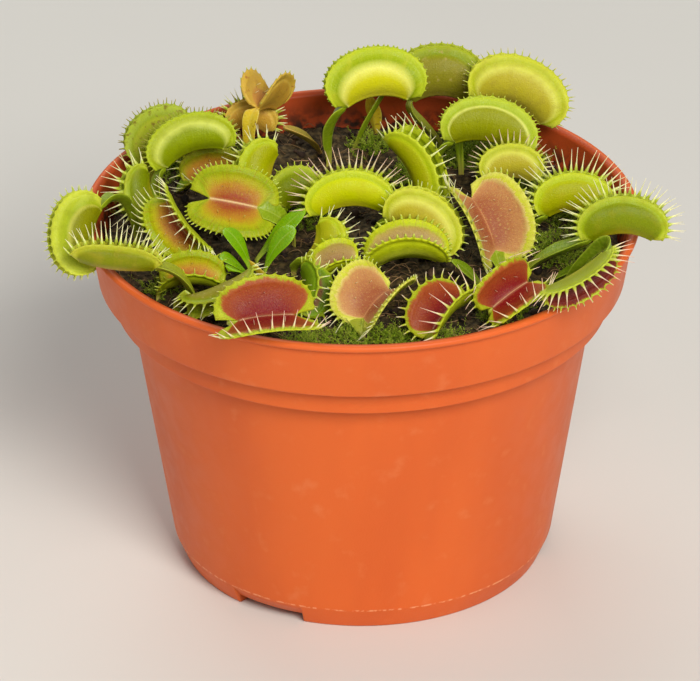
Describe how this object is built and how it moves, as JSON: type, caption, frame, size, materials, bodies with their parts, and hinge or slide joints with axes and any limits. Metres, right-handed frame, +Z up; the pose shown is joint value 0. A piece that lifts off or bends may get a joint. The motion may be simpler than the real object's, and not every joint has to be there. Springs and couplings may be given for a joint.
{
  "type": "potted venus flytrap",
  "caption": "Round plastic nursery pot full of peat, with a low crowd of flytrap leaves whose two-lobed toothed traps stand up and lean over the rim.",
  "frame": {"origin": "on the surface that the pot stands on, under the middle of the whole plant's box", "axes": "+Z up; -Y is the side that shows most open traps; +X to the right of it"},
  "size_m": [0.1364, 0.1266, 0.1015],
  "materials": {
    "pot": "satin",
    "peat": "matte",
    "leaf_lime": "satin",
    "leaf_pale": "satin",
    "leaf_green": "satin",
    "leaf_olive": "satin",
    "leaf_pink": "satin",
    "leaf_red": "satin",
    "leaf_orange": "satin",
    "leaf_yellow": "satin",
    "leaf_blade": "satin"
  },
  "bodies": {
    "root": {"pot": "pot", "peat": "peat", "trap_leaf_01": "leaf_lime", "trap_leaf_02": "leaf_olive", "trap_leaf_03": "leaf_pale", "trap_leaf_04": "leaf_lime", "trap_leaf_05": "leaf_pale", "trap_leaf_06": "leaf_green", "trap_leaf_07": "leaf_lime", "trap_leaf_08": "leaf_lime", "trap_leaf_09": "leaf_lime", "trap_leaf_10": "leaf_pink", "trap_leaf_11": "leaf_pink", "trap_leaf_12": "leaf_pink", "trap_leaf_13": "leaf_red", "trap_leaf_14": "leaf_red", "trap_leaf_15": "leaf_green", "trap_leaf_16": "leaf_lime", "trap_leaf_17": "leaf_lime", "trap_leaf_18": "leaf_pink", "trap_leaf_19": "leaf_orange", "trap_leaf_20": "leaf_red", "trap_leaf_21": "leaf_olive", "trap_leaf_22": "leaf_lime", "trap_leaf_23": "leaf_pale", "trap_leaf_24": "leaf_orange", "trap_leaf_25": "leaf_olive", "trap_leaf_26": "leaf_lime", "trap_leaf_27": "leaf_yellow", "trap_leaf_28": "leaf_yellow", "trap_leaf_29": "leaf_green", "trap_leaf_30": "leaf_orange", "trap_leaf_31": "leaf_green", "trap_leaf_32": "leaf_pale", "trap_leaf_33": "leaf_orange", "trap_leaf_34": "leaf_olive", "plain_leaf_01": "leaf_blade", "plain_leaf_02": "leaf_yellow", "dead_leaf": "leaf_yellow", "plain_leaf_03": "leaf_blade", "plain_leaf_04": "leaf_blade", "plain_leaf_05": "leaf_blade", "plain_leaf_06": "leaf_blade", "plain_leaf_07": "leaf_blade", "plain_leaf_08": "leaf_yellow", "plain_leaf_09": "leaf_blade", "plain_leaf_10": "leaf_blade", "plain_leaf_11": "leaf_blade"}
  },
  "joints": []
}
